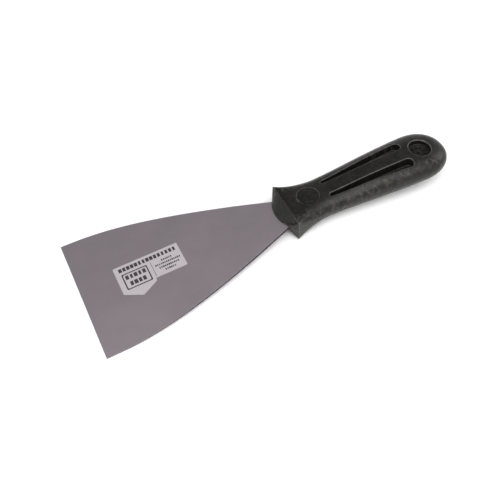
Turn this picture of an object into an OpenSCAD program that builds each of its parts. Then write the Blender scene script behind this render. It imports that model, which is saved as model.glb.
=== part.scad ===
// Ink knife: a broad, flexible steel blade with a moulded plastic handle.
// The knife lies flat: +X runs from the edge to the end of the handle, +Y across the blade, +Z up.
// The origin is under the middle of the knife, level with the lowest point of the grip.

/* [Blade] */
// Width of the blade at its edge
edge_w = 80; // [50:1:110]
// Free length of the blade, from its edge to the tip of the handle's nose
blade_l = 118; // [90:1:150]
// Width of the blade where its sides run into the nose
neck_w = 21.2; // [16:0.2:24]
// Thickness of the steel at the neck and in the tang
neck_t = 2.0; // [1.2:0.1:2.4]
// Thickness of the steel at the edge
edge_t = 0.5; // [0.3:0.1:1]
// Length of neck in front of the nose that is left parallel, before the ground taper starts
flat_l = 18; // [8:1:30]

/* [Tang] */
// Width of the tang inside the handle
tang_w = 14; // [8:0.5:18]
// Length of the tang behind the ridge of the collar
tang_l = 56; // [30:1:80]
// Radius of the holes in the tang, which the plastic of the handle fills
key_r = 2.5; // [1.5:0.1:3.5]
// Distance from the ridge of the collar to the first hole
key_x = 26; // [20:1:28]
// Distance between the two holes
key_gap = 18; // [10:1:22]
// Length behind the ridge over which the neck narrows to the tang
tang_lead = 6; // [2:0.5:14]
// Bevel across the two corners at the end of the tang
tang_bevel = 3; // [0.5:0.5:4]
// Gap between the steel and the plastic moulded round it
tang_clear = 0.02; // [0.01:0.01:0.1]

/* [Handle] */
// Length of the nose, from its tip to the ridge of the collar
nose_l = 6.7; // [4:0.1:10]
// Length of the grip, from the ridge of the collar to the end
grip_l = 109.3; // [100:0.1:130]
// Width of the nose where the sides of the blade run in
nose_w = 20.4; // [16:0.2:24]
// How far the tip of the nose stands in front of its two sides
nose_bulge = 3.0; // [1:0.1:3.5]
// Thickness of the nose at the blade
lip_t = 3.2; // [2.6:0.1:5]
// Width of the collar at its ridge
collar_w = 32.4; // [28:0.2:38]
// Thickness of the collar at its ridge
collar_t = 14.8; // [12:0.2:17]
// Distance from the ridge to the waist
waist_x = 23.3; // [18:0.1:26]
// Width of the handle at the waist
waist_w = 25.8; // [24:0.2:29]
// Thickness of the handle at the waist
waist_t = 13.8; // [12:0.2:16]
// Distance from the ridge to the widest place of the grip
belly_x = 89.3; // [84:0.1:92]
// Width of the grip at its widest place
belly_w = 33.8; // [30:0.2:38]
// Distance from the ridge to the thickest place of the grip
thick_x = 62; // [50:1:70]
// Thickness of the grip at its thickest place
grip_t = 17; // [14.8:0.2:20]
// Squareness of the grip's oval section, where 2 is an ellipse
grip_square = 2.6; // [2:0.1:4]

/* [Core slots] */
// Width of the land that runs between the two slots
land_w = 8.6; // [6:0.2:10]
// Distance from the ridge to the narrow end of the slots
slot_x = 26.3; // [24:0.1:32]
// Length of the slots
slot_l = 56; // [40:1:58]
// Width of the slots at their narrow end
slot_near_w = 2.2; // [1.6:0.1:3]
// Width of the slots at their wide end
slot_far_w = 6.0; // [3:0.1:6.4]
// Thickness of the web left between the slots of the two faces
web_t = 4.4; // [4:0.1:7]

/* [Round marks] */
// Distance from the ridge to the shallow round mark near the collar
mark_x = 14.7; // [12:0.1:17]
// Radius of the shallow mark
mark_r = 6.6; // [4:0.1:7]
// Depth of the shallow mark below the waist's land
mark_depth = 0.4; // [0.2:0.1:0.8]
// Distance from the ridge to the round recess near the end
recess_x = 92.2; // [90:0.1:96]
// Radius of the recess
recess_r = 6.8; // [4:0.1:7]
// Height of the floor of the recess above the middle of the handle
recess_floor = 3.4; // [1.5:0.1:4.5]

/* [Label] */
// Distance from the edge of the blade to the label
label_x = 21; // [5:0.5:40]
// Length of the label
label_l = 38.6; // [20:0.2:50]
// Width of the label
label_w = 16.8; // [10:0.2:20]
// Length of the pointed tab on the label's front half
tab_l = 19.6; // [8:0.2:20]
// How far the tab's two shoulders stand below the label
tab_side = 1.8; // [0.5:0.1:4]
// How far the tab's point stands below its shoulders
tab_point = 5.2; // [1:0.1:7]
// How far the middle of the label lies off the middle of the blade
label_y = 2.0; // [-4:0.5:4]
// Thickness of the label's foil
label_t = 0.12; // [0.1:0.01:0.3]
// Layer of glue under the label, left open
glue_t = 0.01; // [0.01:0.01:0.03]

/* [Hidden] */
$fn = 64;

ridge_x = blade_l + nose_l;
side_x = blade_l + nose_bulge;
taper_l = blade_l - flat_l;
overall_l = ridge_x + grip_l;

// How fast the blade narrows: control points of its side, as shares of its length and its narrowing
front_hold = 0.14;
front_drop = 0.02;
neck_hold = 0.33;
neck_lift = 1.05;
side_steps = 28;

// Points along each side of a handle section, and rings along its three stretches
side_n = 8;
ring_n = 4 * side_n;
flare_n = 9;
swell_n = 6;
belly_n = 4;
end_n = 10;
collar_square = 60;

// Powers that shape the handle: how the flare of the collar dies away in width, thickness and
// squareness, how the swell leaves the waist and meets the belly, and how the end rounds off
flare_w_power = 1.4;
flare_t_power = 3;
soften_power = 2.3;
leave_power = 1.32;
meet_power = 1.25;
end_w_power = 2.2;
end_t_power = 2.8;
ring_power = 1.4;

// Points along each round end of a slot
arc_steps = 10;
waist_to_thick = thick_x - waist_x;

// Places the knife, drawn from its edge and its middle plane, in the part's frame
module place() {
    translate([-overall_l / 2, 0, grip_t / 2]) children();
}

// ---- Blade -------------------------------------------------------------

function bezier(t, a, b, c, d) =
    pow(1 - t, 3) * a + 3 * pow(1 - t, 2) * t * b + 3 * (1 - t) * t * t * c + pow(t, 3) * d;

// Half of the blade's narrowing, from edge to neck
narrow = (edge_w - neck_w) / 2;

// One side of the blade: straight near the edge, then sweeping in to the neck
function blade_side(t) = bezier(t,
    [0, edge_w / 2],
    [front_hold * side_x, edge_w / 2 - narrow * front_drop],
    [neck_hold * side_x, neck_w / 2 + narrow * neck_lift],
    [side_x, neck_w / 2]);

// Outline of the steel, made wider by gap inside the handle
module steel_outline(gap) {
    sweep = [for (i = [0 : side_steps]) blade_side(i / side_steps)];
    tang_end = ridge_x + tang_l + gap;
    half = tang_w / 2 + gap;
    right = concat(
        [for (p = sweep) [p.x, p.y + gap]],
        [[ridge_x + tang_lead, half], [tang_end - tang_bevel, half], [tang_end, half - tang_bevel]]);
    left = [for (i = [len(right) - 1 : -1 : 0]) [right[i].x, -right[i].y]];
    polygon(concat(right, left));
}

// Side view of the steel: parallel at the neck and tang, tapered to the edge
module steel_thickness(gap) {
    edge_h = edge_t / 2 + gap;
    neck_h = neck_t / 2 + gap;
    rotate([90, 0, 0])
        linear_extrude(edge_w * 2, center = true)
            polygon([
                [0, -edge_h], [taper_l, -neck_h], [overall_l, -neck_h],
                [overall_l, neck_h], [taper_l, neck_h], [0, edge_h]]);
}

module key_holes(r) {
    for (i = [0, 1])
        translate([ridge_x + key_x + i * key_gap, 0, 0])
            cylinder(h = neck_t * 2, r = r, center = true);
}

module steel(gap = 0) {
    difference() {
        intersection() {
            linear_extrude(neck_t * 2, center = true) steel_outline(gap);
            steel_thickness(gap);
        }
        key_holes(key_r - gap);
    }
}

module blade() {
    color("#9d979c") place() steel();
}

// ---- Handle ------------------------------------------------------------

function mix(a, b, s) = a + (b - a) * s;

// Swell of the grip from waist to belly: eases out of the waist and into the belly
function swell(v) = (1 - v) * pow(v, leave_power) + v * (1 - pow(1 - v, meet_power));

// Rounding of the end: 1 at its start, 0 at the tip
function round_off(v, square) = pow(max(0, 1 - pow(v, square)), 1 / square);

// Half-width at a distance x behind the ridge
function half_w(x) =
    x < waist_x ? mix(waist_w, collar_w, pow(1 - x / waist_x, flare_w_power)) / 2
    : x < belly_x ? mix(waist_w, belly_w, swell((x - waist_x) / (belly_x - waist_x))) / 2
    : belly_w / 2 * round_off((x - belly_x) / (grip_l - belly_x), end_w_power);

// Half-thickness at a distance x behind the ridge
function half_t(x) =
    x < waist_x ? mix(waist_t, collar_t, pow(1 - x / waist_x, flare_t_power)) / 2
    : x < thick_x ? mix(waist_t, grip_t, pow(sin(90 * (x - waist_x) / waist_to_thick), 2)) / 2
    : grip_t / 2 * round_off((x - thick_x) / (grip_l - thick_x), end_t_power);

// Squareness of the section: a box at the ridge, an oval from the waist on
function square_at(x) =
    let (u = min(1, x / waist_x))
    1 / mix(1 / collar_square, 1 / grip_square, 1 - pow(1 - u, soften_power));

// Points spaced evenly round a unit square, starting at its +Y side and turning to +Z
function box_point(i) =
    let (s = floor(i / side_n), v = 2 * (i % side_n) / side_n - 1)
    s == 0 ? [1, v] : s == 1 ? [-v, 1] : s == 2 ? [-1, -v] : [v, -1];

// Section of the grip at a distance x behind the ridge
function section(x) =
    let (n = square_at(x), w = half_w(x), h = half_t(x))
    [for (i = [0 : ring_n - 1])
        let (p = box_point(i), k = pow(pow(abs(p.x), n) + pow(abs(p.y), n), -1 / n))
        [ridge_x + x, w * k * p.x, h * k * p.y]];

// Radius of the nose's arc, from its width and bulge
nose_r = (pow(nose_w / 2, 2) + pow(nose_bulge, 2)) / (2 * nose_bulge);

// Front rim of the nose: an arc across the blade with the height of the lip
function nose_rim() = [for (i = [0 : ring_n - 1])
    let (p = box_point(i), y = p.x * nose_w / 2)
    [blade_l + nose_r - sqrt(nose_r * nose_r - y * y), y, p.y * lip_t / 2]];

// Places of the rings behind the ridge, closer together where the shape turns
flare_xs = [for (i = [0 : flare_n]) waist_x * pow(i / flare_n, ring_power)];
swell_xs = [for (i = [1 : swell_n]) mix(waist_x, thick_x, i / swell_n)];
belly_xs = [for (i = [1 : belly_n]) mix(thick_x, belly_x, i / belly_n)];
end_xs = [for (i = [1 : end_n - 1]) mix(belly_x, grip_l, sin(90 * i / end_n))];
ring_xs = concat(flare_xs, swell_xs, belly_xs, end_xs);

module handle_body() {
    rings = concat([nose_rim()], [for (x = ring_xs) section(x)]);
    count = len(rings);
    tip = count * ring_n;
    points = concat([for (r = rings) each r], [[ridge_x + grip_l, 0, 0]]);
    walls = [for (r = [0 : count - 2], i = [0 : ring_n - 1])
        let (j = (i + 1) % ring_n, a = r * ring_n, b = a + ring_n)
        each [[a + i, b + j, a + j], [a + i, b + i, b + j]]];
    end = [for (i = [0 : ring_n - 1]) [tip - ring_n + i, tip, tip - ring_n + (i + 1) % ring_n]];
    polyhedron(points, concat(walls, end, nose_front()), convexity = 6);
}

// Narrow front wall of the nose, in upright strips from its upper to its lower rim.
// The two outermost strips are fans, because the ring has points up their outer sides.
function nose_front() =
    let (n = side_n, right = 4 * n - 1, left = 3 * n + 1)
    concat(
        [for (j = [0 : n]) [right, j, j + 1]],
        [for (j = [2 * n - 1 : 3 * n - 1]) [left, j, j + 1]],
        [for (i = [1 : n - 2])
            let (a = n + i, c = 4 * n - i)
            each [[a, a + 1, c - 1], [a, c - 1, c]]]);

// Points along an arc, from one angle to another
function arc(middle, r, from, to) =
    [for (i = [0 : arc_steps]) let (t = mix(from, to, i / arc_steps)) middle + r * [cos(t), sin(t)]];

// Plan of one slot: straight along the land, round at both ends and tapered on its outer side
module slot_plan() {
    near_r = slot_near_w / 2;
    far_r = slot_far_w / 2;
    near = [near_r, near_r];
    wide = [slot_l - far_r, far_r];
    // The outer side touches both round ends, so it turns by twice the slope of their middles
    turn = 2 * atan2(wide.y - near.y, wide.x - near.x);
    translate([ridge_x + slot_x, land_w / 2])
        polygon(concat(arc(wide, far_r, -90, 90 + turn), arc(near, near_r, 90 + turn, 270)));
}

// What is cut from one face of the handle
module face_cuts() {
    for (side = [0, 1])
        mirror([0, side, 0])
            translate([0, 0, web_t / 2]) linear_extrude(grip_t) slot_plan();
    translate([ridge_x + mark_x, 0, waist_t / 2 - mark_depth]) cylinder(h = grip_t, r = mark_r);
    translate([ridge_x + recess_x, 0, recess_floor]) cylinder(h = grip_t, r = recess_r);
}

module handle() {
    color("#38393a") place() difference() {
        handle_body();
        for (face = [0, 1]) mirror([0, 0, face]) face_cuts();
        steel(tang_clear);
    }
}

// ---- Label -------------------------------------------------------------

module label_plan() {
    low = -label_w / 2;
    polygon([
        [0, label_w / 2], [0, low - tab_side], [tab_l / 2, low - tab_side - tab_point],
        [tab_l, low - tab_side], [tab_l, low], [label_l, low], [label_l, label_w / 2]]);
}

// The foil lies on the tapered face of the blade
module label() {
    slope = atan2((neck_t - edge_t) / 2, taper_l);
    color("#c9c5ca") place()
        translate([0, 0, edge_t / 2]) rotate([0, -slope, 0])
            translate([label_x, label_y, glue_t]) linear_extrude(label_t) label_plan();
}

blade();
handle();
label();
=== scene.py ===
# %% [markdown]
# # An ink knife, finished around its construction model
# The knife has a wide steel blade, a moulded plastic handle and a small foil label.
# The construction model already holds every piece at its real size, and this script adds the looks.
# It loads that model first, so that every length below can be checked against it.

# %% Load the construction model
import math

import bmesh
import bpy
from mathutils import Matrix, Vector


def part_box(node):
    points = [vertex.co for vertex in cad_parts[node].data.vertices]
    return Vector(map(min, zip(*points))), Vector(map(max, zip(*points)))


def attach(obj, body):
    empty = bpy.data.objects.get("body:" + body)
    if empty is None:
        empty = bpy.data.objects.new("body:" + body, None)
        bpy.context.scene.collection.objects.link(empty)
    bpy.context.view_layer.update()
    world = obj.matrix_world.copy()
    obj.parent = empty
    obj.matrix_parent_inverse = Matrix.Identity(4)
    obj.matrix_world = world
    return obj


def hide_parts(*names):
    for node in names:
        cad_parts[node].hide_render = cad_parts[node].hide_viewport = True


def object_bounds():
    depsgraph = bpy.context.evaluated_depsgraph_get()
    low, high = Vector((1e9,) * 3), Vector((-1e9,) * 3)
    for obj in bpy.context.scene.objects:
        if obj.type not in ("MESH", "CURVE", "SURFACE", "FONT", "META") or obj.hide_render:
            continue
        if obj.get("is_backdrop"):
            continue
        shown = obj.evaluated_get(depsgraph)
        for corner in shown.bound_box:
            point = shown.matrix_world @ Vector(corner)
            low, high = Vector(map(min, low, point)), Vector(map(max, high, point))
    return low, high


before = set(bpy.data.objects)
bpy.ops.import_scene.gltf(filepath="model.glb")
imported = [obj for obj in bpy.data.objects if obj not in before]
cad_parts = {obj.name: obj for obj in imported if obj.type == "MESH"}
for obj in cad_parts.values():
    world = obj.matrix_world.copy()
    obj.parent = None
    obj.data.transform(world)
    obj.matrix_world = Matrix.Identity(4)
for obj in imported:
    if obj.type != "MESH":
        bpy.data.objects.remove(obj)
cad_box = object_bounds()
MM = 0.001
print("construction box in mm:", [[round(c / MM, 1) for c in corner] for corner in cad_box])

# %% [markdown]
# ## Sizes
# All sizes are in millimetres and are measured from the edge of the blade and from the middle plane of
# the steel, because the knife is the same above and below it. The frame has its origin under the middle
# of the knife, so one small function moves a finished point there.

# %% Sizes of the knife
EDGE_W, NECK_W, NECK_T, EDGE_T = 80.0, 21.2, 2.0, 0.5
BLADE_L, FLAT_L = 118.0, 18.0
NOSE_L, NOSE_W, NOSE_BULGE, LIP_T = 6.7, 20.4, 3.0, 3.2
COLLAR_W, COLLAR_T = 32.4, 14.8
WAIST_X, WAIST_W, WAIST_T = 23.3, 25.8, 13.8
BELLY_X, BELLY_W = 89.3, 33.8
THICK_X, GRIP_T, GRIP_L = 62.0, 17.0, 109.3
GRIP_SQUARE, COLLAR_SQUARE = 2.6, 24.0
TANG_W, TANG_L, TANG_LEAD, TANG_BEVEL, TANG_CLEAR = 14.0, 56.0, 6.0, 3.0, 0.02

RIDGE_X = BLADE_L + NOSE_L
SIDE_X = BLADE_L + NOSE_BULGE
OVERALL_L = RIDGE_X + GRIP_L


def placed(x, y, z):
    """A point measured from the edge and the middle plane, in the frame's metres."""
    return ((x - OVERALL_L / 2) * MM, y * MM, (z + GRIP_T / 2) * MM)


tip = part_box("handle")[1][0] / MM
print("end of the handle in mm: frame", round(tip, 2), "here", round(placed(OVERALL_L, 0, 0)[0] / MM, 2))

# %% [markdown]
# ## Arithmetic that works on numbers and on node fields
# Geometry Nodes work a formula out at every point of a mesh. Writing a long formula by hand as Math
# nodes is hard to read, so the class below lets ordinary arithmetic build the nodes. The same function
# can then give a plain number to this script and a field to a node tree.

# %% One helper that adds a node
def add_node(tree, kind, inputs=None, **settings):
    """Adds a node, sets its settings, and links or sets its inputs by name or number."""
    made = tree.nodes.new(kind)
    for key, value in settings.items():
        setattr(made, key, value)
    for key, value in (inputs or {}).items():
        value = value.socket if isinstance(value, Field) else value
        if isinstance(value, bpy.types.NodeSocket):
            tree.links.new(value, made.inputs[key])
        else:
            made.inputs[key].default_value = value
    return made

# %% A number worked out by nodes
class Field:
    """A number that a node tree works out at every point."""

    def __init__(self, tree, socket):
        self.tree, self.socket = tree, socket

    def apply(self, operation, *values):
        sockets = dict(enumerate(values))
        made = add_node(self.tree, "ShaderNodeMath", sockets, operation=operation)
        return Field(self.tree, made.outputs[0])

    def __add__(self, other):
        return self.apply("ADD", self, other)

    def __sub__(self, other):
        return self.apply("SUBTRACT", self, other)

    def __rsub__(self, other):
        return self.apply("SUBTRACT", other, self)

    def __mul__(self, other):
        return self.apply("MULTIPLY", self, other)

    def __truediv__(self, other):
        return self.apply("DIVIDE", self, other)

    def __rtruediv__(self, other):
        return self.apply("DIVIDE", other, self)

    def __pow__(self, other):
        return self.apply("POWER", self, other)

    def __lt__(self, other):
        return self.apply("LESS_THAN", self, other)

    def __gt__(self, other):
        return self.apply("GREATER_THAN", self, other)

    def __abs__(self):
        return self.apply("ABSOLUTE", self)

    __radd__, __rmul__ = __add__, __mul__

# %% Functions for plain numbers and fields alike
def at_least(a, b):
    return a.apply("MAXIMUM", a, b) if isinstance(a, Field) else max(a, b)


def at_most(a, b):
    return a.apply("MINIMUM", a, b) if isinstance(a, Field) else min(a, b)


def sine(turns):
    """Sine of an angle given in quarter turns."""
    angle = turns * (math.pi / 2)
    return angle.apply("SINE", angle) if isinstance(angle, Field) else math.sin(angle)


def mix(a, b, part):
    return a + (b - a) * part


def choose(test, a, b):
    return b + (a - b) * test


def share(value, start, end):
    """How far a value has come from start to end, held between 0 and 1."""
    return at_most(at_least((value - start) / (end - start), 0.0), 1.0)

# %% [markdown]
# ## The rule of the handle
# The handle is one moulding. Its sections are ovals whose width, thickness and squareness change along
# the knife: a box at the collar's ridge, a slim waist, a swelling grip and a round end. These are the
# same rules as in the construction model, only sampled more finely.

# %% Width, thickness and squareness along the handle
def swell(v):
    return (1 - v) * at_least(v, 0.0) ** 1.32 + v * (1 - at_least(1 - v, 0.0) ** 1.25)


def round_off(v, square):
    return at_least(1 - v**square, 0.0) ** (1 / square)


def half_width(x):
    flare = mix(WAIST_W, COLLAR_W, (1 - share(x, 0, WAIST_X)) ** 1.4)
    grip = mix(WAIST_W, BELLY_W, swell(share(x, WAIST_X, BELLY_X)))
    end = BELLY_W * round_off(share(x, BELLY_X, GRIP_L), 2.2)
    return choose(x < WAIST_X, flare, choose(x < BELLY_X, grip, end)) / 2


def half_thick(x):
    flare = mix(WAIST_T, COLLAR_T, (1 - share(x, 0, WAIST_X)) ** 3)
    grip = mix(WAIST_T, GRIP_T, sine(share(x, WAIST_X, THICK_X)) ** 2)
    end = GRIP_T * round_off(share(x, THICK_X, GRIP_L), 2.8)
    return choose(x < WAIST_X, flare, choose(x < THICK_X, grip, end)) / 2


def squareness(x):
    soft = 1 - (1 - share(x, 0, WAIST_X)) ** 2.3
    return 1 / mix(1 / COLLAR_SQUARE, 1 / GRIP_SQUARE, soft)


def grip_height(x, y):
    """Height of the grip's upper face over the middle plane, x being measured from the edge."""
    x = x - RIDGE_X
    n = squareness(x)
    reach = min(abs(y) / half_width(x), 0.98)
    return half_thick(x) * (1 - reach**n) ** (1 / n)


print("grip at the recess: half-width %.2f, height %.2f" % (half_width(92.2), grip_height(RIDGE_X + 92.2, 0)))

# %% [markdown]
# ## The shell of the handle, by Geometry Nodes
# A flat grid is bent into the handle: its long way runs from the nose to the end, its short way runs
# once round the section. The seam and the two ends are then closed by merging points that meet.
# A thin flash line is left along the sides, where the two halves of the mould met.

# %% The start and the end of every tree
LIP_RINGS, NOSE_RINGS, GRIP_RINGS = 2, 10, 190
ROUND_POINTS = 160


def modifier_input(tree, name):
    """Identifier of a named input of a tree, which a modifier needs instead of its name."""
    return next(i.identifier for i in tree.interface.items_tree if i.name == name and i.in_out == "INPUT")


def new_tree(name, sizes):
    """A geometry tree with one output and a named input for each size."""
    tree = bpy.data.node_groups.new(name, "GeometryNodeTree")
    tree.interface.new_socket("Geometry", in_out="OUTPUT", socket_type="NodeSocketGeometry")
    for label, (kind, value) in sizes.items():
        tree.interface.new_socket(label, in_out="INPUT", socket_type=kind).default_value = value
    return tree, tree.nodes.new("NodeGroupInput")


def finish_tree(tree, geometry, material):
    """Every tree ends by making its instances real and giving them their material."""
    real = add_node(tree, "GeometryNodeRealizeInstances", {"Geometry": geometry})
    painted = add_node(
        tree, "GeometryNodeSetMaterial", {"Geometry": real.outputs["Geometry"], "Material": material}
    )
    out = tree.nodes.new("NodeGroupOutput")
    tree.links.new(painted.outputs["Geometry"], out.inputs["Geometry"])

# %% A grid of points, and their places
def grid_fields(tree, along, around):
    """A grid of points with its two counts, as running numbers along and around it."""
    grid = add_node(
        tree,
        "GeometryNodeMeshGrid",
        {"Size X": 1.0, "Size Y": 1.0, "Vertices X": along, "Vertices Y": around},
    )
    place = tree.nodes.new("GeometryNodeInputPosition")
    split = add_node(tree, "ShaderNodeSeparateXYZ", {0: place.outputs[0]})
    ring = (Field(tree, split.outputs["X"]) + 0.5) * (Field(tree, along) - 1)
    turn = (Field(tree, split.outputs["Y"]) + 0.5) * (Field(tree, around) - 1)
    return grid.outputs["Mesh"], ring, turn


def move_and_close(tree, mesh, x, y, z, gap):
    """Puts the grid's points in the frame, in metres, and merges those that meet."""
    where = add_node(
        tree,
        "ShaderNodeCombineXYZ",
        {"X": (x - OVERALL_L / 2) * MM, "Y": y * MM, "Z": (z + GRIP_T / 2) * MM},
    )
    moved = add_node(tree, "GeometryNodeSetPosition", {"Geometry": mesh, "Position": where.outputs[0]})
    closed = add_node(
        tree, "GeometryNodeMergeByDistance", {"Geometry": moved.outputs[0], "Distance": gap * MM}
    )
    smooth = add_node(tree, "GeometryNodeSetShadeSmooth", {"Geometry": closed.outputs[0]})
    return smooth.outputs[0]

# %% The tree that bends a grid into the handle
def handle_tree(material):
    whole = ("NodeSocketInt", 0)
    length = ("NodeSocketFloat", 0.0)
    names = {"Rings": whole, "Points round": whole, "Grip length": length, "Flash": length}
    tree, given = new_tree("moulded_handle", names)
    mesh, ring, turn = grid_fields(tree, given.outputs["Rings"], given.outputs["Points round"])
    side = turn / (Field(tree, given.outputs["Points round"]) - 1) * 4.0
    # A point that runs evenly round a unit square
    across = at_most(at_least((abs(side - 2.5) - 1.0) * 2.0, -1.0), 1.0)
    upward = at_most(at_least((1.0 - abs(side - 1.5)) * 2.0, -1.0), 1.0)
    # The grip, and the ridge where it starts
    grip_l = Field(tree, given.outputs["Grip length"])
    first = LIP_RINGS + NOSE_RINGS
    x = sine(share(ring, first, Field(tree, given.outputs["Rings"]) - 1)) * grip_l
    n = squareness(x)
    pull = (abs(across) ** n + abs(upward) ** n) ** (-1 / n)
    on_side = at_least(1.0 - abs(upward) * 20.0, 0.0) * (abs(across) > 0.99)
    flash = Field(tree, given.outputs["Flash"]) * on_side * share(half_thick(x), 1.0, 3.0)
    grip = (RIDGE_X + x, (half_width(x) * pull + flash) * across, half_thick(x) * pull * upward)
    # The rim of the nose: an arc across the blade, rolled over towards the steel
    roll = share(ring, 0, LIP_RINGS)
    rim_y = across * (NOSE_W / 2) * mix(0.94, 1.0, roll)
    nose_r = ((NOSE_W / 2) ** 2 + NOSE_BULGE**2) / (2 * NOSE_BULGE)
    rim_x = BLADE_L + nose_r - (nose_r**2 - rim_y**2) ** 0.5
    rim = (rim_x, rim_y, upward * roll * (LIP_T / 2))
    out = share(ring, LIP_RINGS, first)
    x, y, z = (mix(a, b, out) for a, b in zip(rim, grip))
    finish_tree(tree, move_and_close(tree, mesh, x, y, z, 0.004), material)
    return tree

# %% Keep the result of a tree as a plain mesh
def baked(name, tree, sizes):
    """Runs a geometry tree with the given sizes and keeps its result as a plain mesh."""
    holder = bpy.data.objects.new(name + "_nodes", bpy.data.meshes.new(name + "_start"))
    bpy.context.scene.collection.objects.link(holder)
    step = holder.modifiers.new("shape", "NODES")
    step.node_group = tree
    for label, value in sizes.items():
        step[modifier_input(tree, label)] = value
    shown = holder.evaluated_get(bpy.context.evaluated_depsgraph_get())
    mesh = bpy.data.meshes.new_from_object(shown)
    holder.modifiers.remove(step)
    bpy.data.objects.remove(holder)
    piece = bpy.data.objects.new(name, mesh)
    bpy.context.scene.collection.objects.link(piece)
    return piece

# %% Turn a shell the right way and measure it
def outward(piece, merge=0.0, unit=MM):
    """Closes and turns a shell so that its faces look outwards. unit is one millimetre in its mesh."""
    mesh = bmesh.new()
    mesh.from_mesh(piece.data)
    if merge:
        bmesh.ops.remove_doubles(mesh, verts=mesh.verts, dist=merge * MM)
    bmesh.ops.recalc_face_normals(mesh, faces=mesh.faces)
    if mesh.calc_volume(signed=True) < 0:
        bmesh.ops.reverse_faces(mesh, faces=mesh.faces)
    open_edges = sum(not e.is_manifold for e in mesh.edges)
    volume = mesh.calc_volume() / unit**3
    mesh.to_mesh(piece.data)
    mesh.free()
    print(piece.name, "faces", len(piece.data.polygons), "open edges", open_edges, "mm3 %.1f" % volume)

# %% [markdown]
# ## Finishes
# Colours are written as the hex values a screen shows and turned to linear light by one function.

# %% Colour function and the start of a material
def linear(code):
    """Linear RGBA of an sRGB hex colour such as '#9c989c'."""
    parts = [int(code[i : i + 2], 16) / 255 for i in (1, 3, 5)]
    return [c / 12.92 if c <= 0.04045 else ((c + 0.055) / 1.055) ** 2.4 for c in parts] + [1.0]


def start_material(name):
    material = bpy.data.materials.new(name)
    material.use_nodes = True
    tree = material.node_tree
    tree.nodes.clear()
    out = tree.nodes.new("ShaderNodeOutputMaterial")
    shader = tree.nodes.new("ShaderNodeBsdfPrincipled")
    tree.links.new(shader.outputs[0], out.inputs["Surface"])
    where = tree.nodes.new("ShaderNodeTexCoord").outputs["Object"]
    return material, tree, shader, where


def per_mm(size):
    """Scale of a noise whose grains are this many millimetres across."""
    return 1 / (size * MM)

# %% [markdown]
# ### Black polypropylene
# The handle is injection-moulded polypropylene with a fine spark texture from the mould. Close up it is not
# evenly black: the skin is scuffed pale in cloudy patches, and these patches are painted thicker on the
# shoulders, where they also stand in for a painted highlight.

# %% A cloud texture and a mixed colour
def noise(tree, where, size, **more):
    """A cloud texture whose grains are size millimetres across, as a field from 0 to 1."""
    made = add_node(tree, "ShaderNodeTexNoise", {"Vector": where, "Scale": per_mm(size), **more})
    return Field(tree, made.outputs["Fac"])


def mixed(tree, part, code_a, code_b):
    """A colour between two hex colours. Either may also be a colour socket."""
    a, b = (linear(c) if isinstance(c, str) else c for c in (code_a, code_b))
    made = add_node(tree, "ShaderNodeMix", {0: part, 6: a, 7: b}, data_type="RGBA")
    return made.outputs[2]

# %% Black moulded polypropylene
def moulded_polypropylene():
    material, tree, shader, where = start_material("black_moulded_polypropylene")
    cloud = noise(tree, where, 7.0, Detail=5.0, Roughness=0.6)
    scuff = noise(tree, where, 2.6, Detail=6.0, Roughness=0.7)
    grain = noise(tree, where, 0.5, Detail=2.0)
    split = add_node(tree, "ShaderNodeSeparateXYZ", {0: where})
    across = abs(Field(tree, split.outputs["Y"]))
    # The shoulders between the land and the sides get more pale patches: partly scuffing, partly a painted
    # highlight
    shoulder_sheen_band = share(across, 8.0 * MM, 11.0 * MM) * (1.0 - share(across, 13.0 * MM, 16.0 * MM))
    pale_scuff_and_sheen = share(scuff, 0.48, 0.66) * (0.16 + 0.84 * shoulder_sheen_band)
    skin = mixed(tree, share(cloud, 0.35, 0.7), "#0d0d0c", "#1a1917")
    scuff_and_sheen_colour = mixed(tree, pale_scuff_and_sheen, skin, "#403e37")
    # Edges that stand out are painted paler: partly wear, partly a painted highlight along the ridges and
    # rims
    layer = add_node(tree, "ShaderNodeAttribute", attribute_name="wear_and_highlight")
    wear_and_highlight = Field(tree, layer.outputs["Fac"]) * (0.35 + 0.65 * share(scuff, 0.3, 0.6))
    tree.links.new(mixed(tree, wear_and_highlight, scuff_and_sheen_colour, "#55534e"), shader.inputs["Base Color"])
    gloss = 0.2 + 0.16 * cloud + 0.14 * pale_scuff_and_sheen
    tree.links.new(gloss.socket, shader.inputs["Roughness"])
    bump = add_node(
        tree,
        "ShaderNodeBump",
        {"Strength": 0.8, "Distance": 0.08 * MM, "Height": grain + scuff * 1.5},
    )
    tree.links.new(bump.outputs["Normal"], shader.inputs["Normal"])
    shader.inputs["IOR"].default_value = 1.49
    # A rubbed moulding has a duller skin than a polished one
    shader.inputs["Specular IOR Level"].default_value = 0.32
    return material

# %% [markdown]
# ### Ground stainless steel
# The blade is cold-rolled stainless strip, ground to a taper along its length and left satin. The
# grinding leaves hair-fine lines across the light, so the steel looks an even mid grey.

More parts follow.
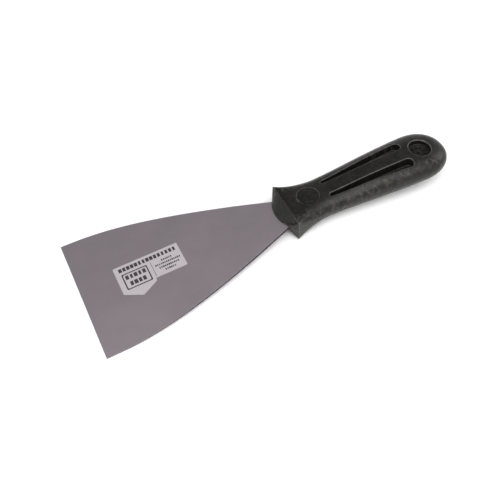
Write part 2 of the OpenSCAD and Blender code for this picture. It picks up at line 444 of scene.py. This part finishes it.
# %% Satin ground stainless steel
def ground_stainless():
    material, tree, shader, where = start_material("satin_ground_stainless")
    turn = add_node(tree, "ShaderNodeMapping", {"Vector": where, "Scale": (1.0, 20.0, 1.0)})
    lines = noise(tree, turn.outputs[0], 9.0, Detail=3.0, Roughness=0.6)
    smear = noise(tree, where, 22.0, Detail=4.0, Roughness=0.55)
    # The sides were sheared, not ground, so they are rougher than the two faces; their darker colour is
    # partly that finish, partly painted shade
    facing = tree.nodes.new("ShaderNodeNewGeometry").outputs["Normal"]
    split = add_node(tree, "ShaderNodeSeparateXYZ", {0: facing})
    sheared_and_shaded = 1.0 - share(abs(Field(tree, split.outputs["Z"])), 0.5, 0.8)
    face = mixed(tree, share(smear + lines * 0.25, 0.45, 0.8), "#a49ba1", "#aca2a9")
    tree.links.new(mixed(tree, sheared_and_shaded, face, "#454044"), shader.inputs["Base Color"])
    gloss = 0.38 + 0.08 * lines + 0.2 * sheared_and_shaded
    tree.links.new(gloss.socket, shader.inputs["Roughness"])
    bump = add_node(
        tree, "ShaderNodeBump", {"Strength": 0.05, "Distance": 0.01 * MM, "Height": lines}
    )
    tree.links.new(bump.outputs["Normal"], shader.inputs["Normal"])
    shader.inputs["Metallic"].default_value = 1.0
    return material

# %% [markdown]
# ### Silver foil and its print
# The label is satin silver polyester foil, a little lighter than the steel, with black ink on it.

# %% Silver label foil and black ink
def silver_foil():
    material, tree, shader, where = start_material("satin_silver_foil")
    fleck = noise(tree, where, 0.8, Detail=2.0)
    tree.links.new(mixed(tree, fleck, "#aca5ab", "#bdb6bb"), shader.inputs["Base Color"])
    shader.inputs["Metallic"].default_value = 0.35
    shader.inputs["Roughness"].default_value = 0.55
    return material


def black_ink():
    material, tree, shader, where = start_material("black_label_ink")
    fleck = noise(tree, where, 0.5, Detail=1.0)
    tree.links.new(mixed(tree, fleck, "#1d191e", "#39343a"), shader.inputs["Base Color"])
    shader.inputs["Roughness"].default_value = 0.6
    return material


PLASTIC, STEEL, FOIL, INK = moulded_polypropylene(), ground_stainless(), silver_foil(), black_ink()
print("finishes:", [m.name for m in (PLASTIC, STEEL, FOIL, INK)])

# %% [markdown]
# ## Making the shell
# The tree is run once and its result kept as a plain mesh. A small bevel then rounds the ridge of the
# collar and the corners of the nose, because a moulded edge always has a radius that catches the light.

# %% Bend the grid into the handle
handle = baked(
    "moulded_handle",
    handle_tree(PLASTIC),
    {
        "Rings": LIP_RINGS + NOSE_RINGS + GRIP_RINGS + 1,
        "Points round": ROUND_POINTS + 1,
        "Grip length": GRIP_L,
        "Flash": 0.12,
    },
)
outward(handle, merge=0.004)

# %% Round the ridge and the corners
def run_modifier(piece, kind, **settings):
    """Adds one modifier, keeps its result as the piece's mesh and takes the modifier away."""
    step = piece.modifiers.new("step", kind)
    for key, value in settings.items():
        setattr(step, key, value)
    shown = piece.evaluated_get(bpy.context.evaluated_depsgraph_get())
    mesh = bpy.data.meshes.new_from_object(shown)
    piece.modifiers.remove(step)
    piece.data = mesh


run_modifier(
    handle, "BEVEL", width=0.45 * MM, segments=3, limit_method="ANGLE", angle_limit=math.radians(32)
)
outward(handle)

# %% [markdown]
# ## Wells: the core slots, the round mark and the recess
# A thick moulding would sink as it cools, so the mould has cores that leave two tapered slots in each
# face. Each well is cut with a tool whose rim flares out along a quarter circle, which leaves the
# rounded lip of a moulded edge wherever the grip's surface is.

# %% Outlines of the wells
LAND_W, SLOT_X, SLOT_L = 8.6, 26.3, 56.0
SLOT_NEAR_W, SLOT_FAR_W, WEB_T = 2.2, 6.0, 4.4
MARK_X, MARK_R, MARK_DEPTH = 14.7, 6.6, 0.4
RECESS_X, RECESS_R, RECESS_FLOOR = 92.2, 6.8, 3.4


def arc(middle, radius, start, end, steps):
    """Points along an arc, each with the direction that looks outwards."""
    rows = []
    for i in range(steps + 1):
        angle = math.radians(mix(start, end, i / steps))
        way = Vector((math.cos(angle), math.sin(angle)))
        rows.append((Vector(middle) + radius * way, way))
    return rows

# %% The outline of a slot and of a round well
def slot_outline(side):
    """Outline of a slot on one side of the land, straight along it and tapered on its outer side."""
    near_r, far_r = SLOT_NEAR_W / 2, SLOT_FAR_W / 2
    near = Vector((RIDGE_X + SLOT_X + near_r, LAND_W / 2 + near_r))
    wide = Vector((RIDGE_X + SLOT_X + SLOT_L - far_r, LAND_W / 2 + far_r))
    turn = 2 * math.degrees(math.atan2(wide.y - near.y, wide.x - near.x))
    ends = arc(wide, far_r, -90, 90 + turn, 20) + arc(near, near_r, 90 + turn, 270, 12)
    rows = []
    for (a, way_a), (b, way_b) in zip(ends, ends[1:] + ends[:1]):
        steps = max(1, round((b - a).length / 1.5))
        rows += [(mix(a, b, i / steps), mix(way_a, way_b, i / steps).normalized()) for i in range(steps)]
    return [(Vector((p.x, side * p.y)), Vector((w.x, side * w.y))) for p, w in rows]


def round_outline(x, radius):
    return arc((RIDGE_X + x, 0), radius, 0, 357, 119)

# %% Cutting tools with a flared rim
def well_tool(name, outline, floor_z, lip, foot, face):
    """A closed cutter for one well. lip and foot are the radii at its mouth and at its floor."""
    rings = [[(p + w * (lip + 0.02), None, -0.8) for p, w in outline]]
    for i in range(6):
        angle = math.radians(90 * i / 5)
        step_in, depth = lip * (1 - math.sin(angle)), lip * (1 - math.cos(angle))
        rings.append([(p + w * step_in, None, depth) for p, w in outline])
    for i in range(5):
        angle = math.radians(90 * i / 4)
        step_in, rise = -foot * (1 - math.cos(angle)), foot * (1 - math.sin(angle))
        rings.append([(p + w * step_in, floor_z + rise, 0) for p, w in outline])
    mesh = bmesh.new()
    made = []
    for ring in rings:
        row = []
        for p, z, depth in ring:
            z = grip_height(p.x, p.y) - depth if z is None else z
            row.append(mesh.verts.new(placed(p.x, p.y, face * z)))
        made.append(row)
    for upper, lower in zip(made, made[1:]):
        for i in range(len(upper)):
            j = (i + 1) % len(upper)
            mesh.faces.new((upper[i], upper[j], lower[j], lower[i]))
    mesh.faces.new(made[0])
    mesh.faces.new(made[-1])
    data = bpy.data.meshes.new(name)
    mesh.to_mesh(data)
    mesh.free()
    piece = bpy.data.objects.new(name, data)
    bpy.context.scene.collection.objects.link(piece)
    outward(piece)
    return piece

# %% Make all eight cutting tools
def joined(name, parts):
    """One object from several meshes, whose sources are removed."""
    mesh = bmesh.new()
    for part in parts:
        mesh.from_mesh(part.data)
        bpy.data.objects.remove(part)
    data = bpy.data.meshes.new(name)
    mesh.to_mesh(data)
    mesh.free()
    piece = bpy.data.objects.new(name, data)
    bpy.context.scene.collection.objects.link(piece)
    return piece


tools = []
for face in (1, -1):
    for side in (1, -1):
        name = "slot_tool_%d_%d" % (face, side)
        tools.append(well_tool(name, slot_outline(side), WEB_T / 2, 0.45, 0.5, face))
    mark_floor = WAIST_T / 2 - MARK_DEPTH
    tools.append(well_tool("mark_tool_%d" % face, round_outline(MARK_X, MARK_R), mark_floor, 0.2, 0.1, face))
    tools.append(
        well_tool("recess_tool_%d" % face, round_outline(RECESS_X, RECESS_R), RECESS_FLOOR, 0.7, 0.4, face)
    )
cutter = joined("well_tools", tools)

# %% Cut the wells
cutter.data.materials.append(PLASTIC)
run_modifier(handle, "BOOLEAN", operation="DIFFERENCE", object=cutter, solver="EXACT")
bpy.data.objects.remove(cutter)
outward(handle)
handle.data.materials.clear()
handle.data.materials.append(PLASTIC)
for face in handle.data.polygons:
    face.material_index = 0

# %% [markdown]
# ## Shading, wear and painted edge highlights
# A moulding is smooth except where two of its faces really meet, so only those edges stay sharp. The
# edges that stand out are painted paler, partly as wear from a hand and partly as a painted highlight along
# ridges and rims. The mesh can tell which they are: a point there stands proud of its neighbours. That number
# is stored on the points for the finish.

# %% Smooth shading, and the last steps of a piece
def shade(piece, degrees):
    """Smooth shading, kept sharp where faces meet at more than an angle."""
    for face in piece.data.polygons:
        face.use_smooth = True
    piece.data.set_sharp_from_angle(angle=math.radians(degrees))


def settle(piece, node=None):
    """The last steps of every piece: it rides on the knife and may stand for a node."""
    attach(piece, "root")
    if node:
        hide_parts(node)

# %% Find the edges that are painted paler for wear and highlight
def mark_worn_and_highlit_edges(piece):
    """Stores on every point how far it stands out from its neighbours, for the painted wear and highlight
    along the edges.
    """
    mesh = bmesh.new()
    mesh.from_mesh(piece.data)
    wear_and_highlight = []
    for vert in mesh.verts:
        ways = [(vert.co - edge.other_vert(vert).co).normalized() for edge in vert.link_edges]
        stand = sum(sorted(way.dot(vert.normal) for way in ways)[-2:]) / 2
        wear_and_highlight.append(share(stand, 0.08, 0.15))
    mesh.free()
    layer = piece.data.attributes.new("wear_and_highlight", "FLOAT", "POINT")
    layer.data.foreach_set("value", wear_and_highlight)
    print(piece.name, "points on rubbed edges", sum(v > 0.5 for v in wear_and_highlight))


mark_worn_and_highlit_edges(handle)
shade(handle, 32)
settle(handle, "handle")

# %% [markdown]
# ## Relief from the mould, by Geometry Nodes
# The mould leaves a small dial in the round mark near the collar and a larger one in the recess. What a
# maker would write there is left out. Each dial is a ring with ticks round it and a boss in the middle.

# %% A dial: one ring, one tick copied round it
def dial_tree(material):
    length, whole = ("NodeSocketFloat", 1.0), ("NodeSocketInt", 8)
    names = {"Radius": length, "Ticks": whole, "Tick length": length, "Line": length, "Height": length}
    tree, given = new_tree("mould_dial", names)
    radius, line, height, tick = (
        Field(tree, given.outputs[n]) for n in ("Radius", "Line", "Height", "Tick length")
    )
    path = add_node(tree, "GeometryNodeCurvePrimitiveCircle", {"Resolution": 72, "Radius": radius})
    bead = add_node(tree, "GeometryNodeCurvePrimitiveCircle", {"Resolution": 10, "Radius": line * 0.5})
    ring = add_node(
        tree,
        "GeometryNodeCurveToMesh",
        {"Curve": path.outputs["Curve"], "Profile Curve": bead.outputs["Curve"]},
    )
    spots = add_node(
        tree,
        "GeometryNodeMeshCircle",
        {"Vertices": given.outputs["Ticks"], "Radius": radius - tick * 0.5},
    )
    size = add_node(tree, "ShaderNodeCombineXYZ", {"X": tick, "Y": line, "Z": height})
    block = add_node(tree, "GeometryNodeMeshCube", {"Size": size.outputs[0]})
    number = Field(tree, tree.nodes.new("GeometryNodeInputIndex").outputs[0])
    angle = number * (2 * math.pi) / Field(tree, given.outputs["Ticks"])
    turned = add_node(tree, "ShaderNodeCombineXYZ", {"Z": angle})
    ticks = add_node(
        tree,
        "GeometryNodeInstanceOnPoints",
        {"Points": spots.outputs[0], "Instance": block.outputs["Mesh"], "Rotation": turned.outputs[0]},
    )
    boss = add_node(
        tree,
        "GeometryNodeMeshCylinder",
        {"Vertices": 32, "Radius": radius * 0.2, "Depth": height},
    )
    parts = tree.nodes.new("GeometryNodeJoinGeometry")
    for made in (ring.outputs[0], ticks.outputs[0], boss.outputs["Mesh"]):
        tree.links.new(made, parts.inputs[0])
    finish_tree(tree, parts.outputs[0], material)
    return tree

# %% Four dials
dials = []
dial_nodes = dial_tree(PLASTIC)
for face in (1, -1):
    for name, x, floor_z, radius, ticks, tick, line, height in (
        ("mark_dial", MARK_X, WAIST_T / 2 - MARK_DEPTH, 4.4, 12, 1.5, 0.5, 0.5),
        ("recess_dial", RECESS_X, RECESS_FLOOR, 4.8, 9, 1.9, 0.8, 1.4),
    ):
        sizes = {"Radius": radius, "Ticks": ticks, "Tick length": tick, "Line": line, "Height": height}
        dial = baked(name, dial_nodes, sizes)
        spot = Vector(placed(RIDGE_X + x, 0, face * floor_z))
        dial.data.transform(Matrix.Translation(spot) @ Matrix.Scale(MM, 4))
        dials.append(dial)
relief = joined("mould_relief", dials)
relief.data.materials.append(PLASTIC)
outward(relief)
shade(relief, 35)
settle(relief)

# %% [markdown]
# ## The label
# The label is cut from silver foil: a plain strip with a pointed tab on one half. What a maker would
# print there is left out. Rows of plain blocks stand in its place, with a thin frame and a thin rule,
# so that the label keeps its weight on the blade without saying anything.

# %% Sizes of the label, and the ground face it lies on
LABEL_X, LABEL_Y, LABEL_L, LABEL_W = 21.0, 2.0, 38.6, 16.8
TAB_L, TAB_SIDE, TAB_POINT = 19.6, 1.8, 5.2
LABEL_T, GLUE_T, INK_T = 0.12, 0.01, 0.015
TAPER_L = BLADE_L - FLAT_L
TAPER = math.atan2((NECK_T - EDGE_T) / 2, TAPER_L)


def on_label(piece):
    """Moves a piece drawn flat, in millimetres from the label's front end, onto the ground face."""
    raised = Matrix.Translation(Vector(placed(0, 0, EDGE_T / 2)))
    start = Matrix.Translation(Vector((LABEL_X, LABEL_Y, GLUE_T)) * MM)
    piece.data.transform(raised @ Matrix.Rotation(-TAPER, 4, "Y") @ start @ Matrix.Scale(MM, 4))

# %% A flat piece with rounded corners
def slab(name, outline, low, high, radius, hole=0.0):
    """A flat piece with rounded corners, or a frame of that width."""
    mesh = bmesh.new()
    rows = []
    for corner, here in enumerate(outline):
        here, before, after = (Vector(outline[(corner + k) % len(outline)]) for k in (0, -1, 1))
        a, b = (before - here).normalized(), (after - here).normalized()
        cut = radius / math.tan(a.angle(b) / 2)
        for k in range(6):
            t = k / 5
            rows.append(here + a * cut * (1 - t) ** 2 + b * cut * t**2)
    middle = sum(rows, Vector((0, 0))) / len(rows)
    inner = []
    for p in rows:
        out = (p.x - middle.x, p.y - middle.y)
        inner.append(p - Vector((math.copysign(hole, out[0]), math.copysign(hole, out[1]))))
    rings = [
        [mesh.verts.new((p.x, p.y, z)) for p in ring]
        for ring, z in ((rows, high), (rows, low), (inner, low), (inner, high))
    ]
    pairs = list(zip(rings, rings[1:] + rings[:1])) if hole else [(rings[0], rings[1])]
    for upper, lower in pairs:
        for i in range(len(rows)):
            j = (i + 1) % len(rows)
            mesh.faces.new((upper[i], upper[j], lower[j], lower[i]))
    if not hole:
        mesh.faces.new(rings[0])
        mesh.faces.new(rings[1])
        for ring in rings[2:]:
            for vert in ring:
                mesh.verts.remove(vert)
    data = bpy.data.meshes.new(name)
    mesh.to_mesh(data)
    mesh.free()
    piece = bpy.data.objects.new(name, data)
    bpy.context.scene.collection.objects.link(piece)
    outward(piece, unit=1.0)
    return piece

# %% Cut the foil
low, top = -LABEL_W / 2, LABEL_W / 2
tab = [(0, low - TAB_SIDE), (TAB_L / 2, low - TAB_SIDE - TAB_POINT), (TAB_L, low - TAB_SIDE)]
foil = slab("label_foil", [(0, top)] + tab + [(TAB_L, low), (LABEL_L, low), (LABEL_L, top)], 0, LABEL_T, 0.4)
on_label(foil)
foil.data.materials.append(FOIL)
shade(foil, 30)
settle(foil, "label")

# %% [markdown]
# ## Printed rows, by Geometry Nodes
# A row of print is a line of points with one block on each. A fixed seed gives every block its own
# width, so that the row has the rhythm of a printed line. The same tree makes every row.

# %% One row of printed blocks
def row_tree(material):
    length = ("NodeSocketFloat", 1.0)
    names = {"Length": length, "Height": length, "Pitch": length, "Seed": ("NodeSocketInt", 0)}
    tree, given = new_tree("printed_row", names)
    long, height, pitch = (Field(tree, given.outputs[n]) for n in ("Length", "Height", "Pitch"))
    count = (long / pitch).apply("ROUND", long / pitch)
    number = Field(tree, tree.nodes.new("GeometryNodeInputIndex").outputs[0])
    x = (number + 0.5 - count * 0.5) * pitch
    spot = add_node(tree, "ShaderNodeCombineXYZ", {"X": x})
    points = add_node(tree, "GeometryNodePoints", {"Count": count, "Position": spot.outputs[0]})
    chance = add_node(
        tree,
        "FunctionNodeRandomValue",
        {2: 0.5, 3: 0.84, 8: given.outputs["Seed"]},
        data_type="FLOAT",
    )
    wide = Field(tree, chance.outputs[1]) * pitch
    size = add_node(tree, "ShaderNodeCombineXYZ", {"X": wide, "Y": height, "Z": INK_T})
    block = tree.nodes.new("GeometryNodeMeshCube")
    blocks = add_node(
        tree,
        "GeometryNodeInstanceOnPoints",
        {"Points": points.outputs[0], "Instance": block.outputs["Mesh"], "Scale": size.outputs[0]},
    )
    finish_tree(tree, blocks.outputs[0], material)
    return tree

# %% Seven rows, a frame and a rule
# Middle x and y of each row, its length, height and pitch, all from the label's front end
ROWS = [
    (19.6, 5.4, 35.0, 2.6, 2.3),
    (10.5, -0.6, 12.6, 2.8, 2.5),
    (10.5, -5.2, 10.0, 2.8, 2.5),
    (29.6, 1.3, 6.6, 1.15, 1.1),
    (29.6, -1.0, 15.4, 1.15, 1.1),
    (29.6, -3.3, 12.4, 1.15, 1.1),
    (29.6, -5.6, 7.0, 1.15, 1.1),
]
row_nodes = row_tree(INK)
prints = []
for seed, (x, y, long, high, pitch) in enumerate(ROWS):
    sizes = {"Length": long, "Height": high, "Pitch": pitch, "Seed": seed + 3}
    row = baked("row_%d" % seed, row_nodes, sizes)
    row.data.transform(Matrix.Translation((x, y, LABEL_T + INK_T / 2)))
    prints.append(row)
box = [(3.0, 2.4), (3.0, -8.6), (18.0, -8.6), (18.0, 2.4)]
prints.append(slab("print_frame", box, LABEL_T, LABEL_T + INK_T, 0.8, hole=0.7))
rule = [(20.3, 2.6), (20.3, -7.4), (20.55, -7.4), (20.55, 2.6)]
prints.append(slab("print_rule", rule, LABEL_T, LABEL_T + INK_T, 0.05))
ink = joined("label_print", prints)
on_label(ink)
ink.data.materials.append(INK)
outward(ink)
settle(ink)

# %% [markdown]
# ## The blade, by Geometry Nodes
# Each side of the blade is one Bezier curve: straight near the edge, then sweeping in to the neck. The
# grid's long way runs from the edge to the end of the tang, its short way once round the thin section.
# The steel thins out evenly from the neck to the edge, and the tang runs on inside the handle.

# %% Sizes and curve of the blade
SWEEP_RINGS, LEAD_RINGS, FACE_POINTS = 96, 4, 16
FRONT_HOLD, FRONT_DROP, NECK_HOLD, NECK_LIFT = 0.14, 0.02, 0.33, 1.05


def bezier(t, a, b, c, d):
    u = 1.0 - t
    return u * u * u * a + u * u * t * (3 * b) + u * t * t * (3 * c) + t * t * t * d

# %% The tree of the blade
def blade_tree(material):
    whole, length = ("NodeSocketInt", 1), ("NodeSocketFloat", 1.0)
    names = {"Rings": whole, "Points round": whole, "Edge width": length, "Neck thickness": length}
    tree, given = new_tree("ground_blade", names)
    mesh, ring, turn = grid_fields(tree, given.outputs["Rings"], given.outputs["Points round"])
    m = FACE_POINTS
    across = 1.0 - 2.0 * share(turn, 0, m) + 2.0 * share(turn, m + 1, 2 * m + 1)
    upward = 1.0 - 2.0 * share(turn, m, m + 1) + 2.0 * share(turn, 2 * m + 1, 2 * m + 2)
    # Rings: one that closes the edge, the sweep, the lead into the tang, the tang, its bevel, its end
    t = share(ring, 1, SWEEP_RINGS + 1)
    lead_end = SWEEP_RINGS + 1 + LEAD_RINGS
    lead, tang, bevel, close = (
        share(ring, a, b)
        for a, b in (
            (SWEEP_RINGS + 1, lead_end),
            (lead_end, lead_end + 1),
            (lead_end + 1, lead_end + 2),
            (lead_end + 2, lead_end + 3),
        )
    )
    edge_half = Field(tree, given.outputs["Edge width"]) * 0.5
    narrow = edge_half - NECK_W / 2
    x = bezier(t, 0.0, FRONT_HOLD * SIDE_X, NECK_HOLD * SIDE_X, SIDE_X)
    wide = bezier(t, edge_half, edge_half - narrow * FRONT_DROP, narrow * NECK_LIFT + NECK_W / 2, NECK_W / 2)
    x = x + lead * (RIDGE_X + TANG_LEAD - SIDE_X)
    x = x + tang * (TANG_L - TANG_BEVEL - TANG_LEAD) + bevel * TANG_BEVEL
    wide = mix(wide, TANG_W / 2, lead) - bevel * TANG_BEVEL
    closed = share(ring, 0, 1) * (1.0 - close)
    thick = Field(tree, given.outputs["Neck thickness"])
    high = mix(EDGE_T / 2, thick * 0.5, share(x, 0, BLADE_L - FLAT_L)) * closed
    y = across * wide * mix(0.98, 1.0, closed)
    finish_tree(tree, move_and_close(tree, mesh, x, y, upward * high, 0.004), material)
    return tree

# %% Make the blade
blade = baked(
    "ground_blade",
    blade_tree(STEEL),
    {
        "Rings": SWEEP_RINGS + LEAD_RINGS + 5,
        "Points round": 2 * FACE_POINTS + 3,
        "Edge width": EDGE_W,
        "Neck thickness": NECK_T,
    },
)
outward(blade, merge=0.004)
run_modifier(
    blade, "BEVEL", width=0.08 * MM, segments=2, limit_method="ANGLE", angle_limit=math.radians(40)
)
outward(blade)
shade(blade, 15)
settle(blade, "blade")

# %% [markdown]
# ## Floor, light and camera
# Laid down, the knife rests on the edge of the blade and on the ridge of the collar, about three degrees
# nose down. The floor is tilted instead of the knife, because the knife stays in the frame.

# %% The floor under the edge and the collar
collar = Vector(placed(RIDGE_X, 0, -COLLAR_T / 2))
edge = Vector(placed(0, 0, -EDGE_T / 2))
lean = math.atan2(edge.z - collar.z, collar.x - edge.x)
middle = (collar + edge) / 2
half = 8.0
data = bpy.data.meshes.new("floor")
along, across = Vector((math.cos(lean), 0, -math.sin(lean))), Vector((0, 1, 0))
corners = [middle + (a * along + b * across) * half for a, b in ((-1, -1), (1, -1), (1, 1), (-1, 1))]
data.from_pydata([tuple(c) for c in corners], [], [(0, 1, 2, 3)])
floor = bpy.data.objects.new("floor", data)
bpy.context.scene.collection.objects.link(floor)
floor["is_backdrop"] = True


def white_table():
    material, tree, shader, where = start_material("white_studio_table")
    shader.inputs["Base Color"].default_value = linear("#fbfbfb")
    shader.inputs["Roughness"].default_value = 0.9
    return material


data.materials.append(white_table())
print("lean of the floor in degrees: %.2f" % math.degrees(lean))

# %% The room
bpy.context.scene.view_settings.view_transform = "Standard"

# The room is bright all round. A dim patch hangs high on the far side, where the blade mirrors it.
world = bpy.data.worlds.new("studio")
bpy.context.scene.world = world
world.use_nodes = True
room = world.node_tree
way = add_node(room, "ShaderNodeSeparateXYZ", {0: room.nodes.new("ShaderNodeTexCoord").outputs["Generated"]})
facing = sum(Field(room, way.outputs[axis]) * part for axis, part in (("X", 0.23), ("Y", 0.54), ("Z", 0.81)))
far = add_node(
    room,
    "ShaderNodeMapRange",
    {"Value": facing, "From Min": 0.3, "From Max": 0.85, "To Min": 1.05, "To Max": 0.36},
)
room.links.new(far.outputs["Result"], room.nodes["Background"].inputs["Strength"])
room.nodes["Background"].inputs["Color"].default_value = linear("#ffffff")

# %% Soft lamps
def soft_light(name, place, aim, size, power):
    """A square area lamp that looks at a point."""
    lamp = bpy.data.lights.new(name, "AREA")
    lamp.shape, lamp.size, lamp.energy = "SQUARE", size, power
    made = bpy.data.objects.new(name, lamp)
    made.location = place
    made.rotation_euler = (Vector(aim) - Vector(place)).to_track_quat("-Z", "Y").to_euler()
    bpy.context.scene.collection.objects.link(made)
    made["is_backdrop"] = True
    print(name, "lamp of %.1f W, %.1f m wide" % (power, size))


soft_light("behind_camera", (-0.1, -0.55, 1.6), (0, 0, 0), 1.7, 17.0)
soft_light("over_left", (-1.1, -0.1, 0.8), (0, 0, 0), 0.7, 1.5)
soft_light("near_right", (0.4, -0.5, 1.5), (0, 0, 0), 1.2, 5.0)
soft_light("over_end", (1.2, 0.1, 0.7), (0.05, 0, 0), 0.5, 2.0)

# %% The camera
spot, target = Vector((-106.91, -216.69, 310.49)) * MM, Vector((-22.57, -13.95, 8.5)) * MM
forward = (target - spot).normalized()
level = forward.cross(Vector((0, 0, 1))).normalized()
ROLL = math.radians(5.0)
right = math.cos(ROLL) * level - math.sin(ROLL) * level.cross(forward)
up = right.cross(forward)
lens = bpy.data.cameras.new("camera")
lens.lens, lens.sensor_width = 47.92, 36.0
camera = bpy.data.objects.new("camera", lens)
turn = Matrix((right, up, -forward)).transposed().to_4x4()
camera.matrix_world = Matrix.Translation(spot) @ turn
bpy.context.scene.collection.objects.link(camera)
bpy.context.scene.camera = camera
print("camera right", [round(c, 4) for c in right], "up", [round(c, 4) for c in up])

# %% [markdown]
# ## The two boxes
# The finished pieces have to stay within the construction model's box, so both boxes are gathered and the
# finished one is printed.

new_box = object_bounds()
sizes = {"cad": [list(c) for c in cad_box], "visual": [list(c) for c in new_box]}
print("finished box in mm:", [[round(c / MM, 2) for c in corner] for corner in new_box])
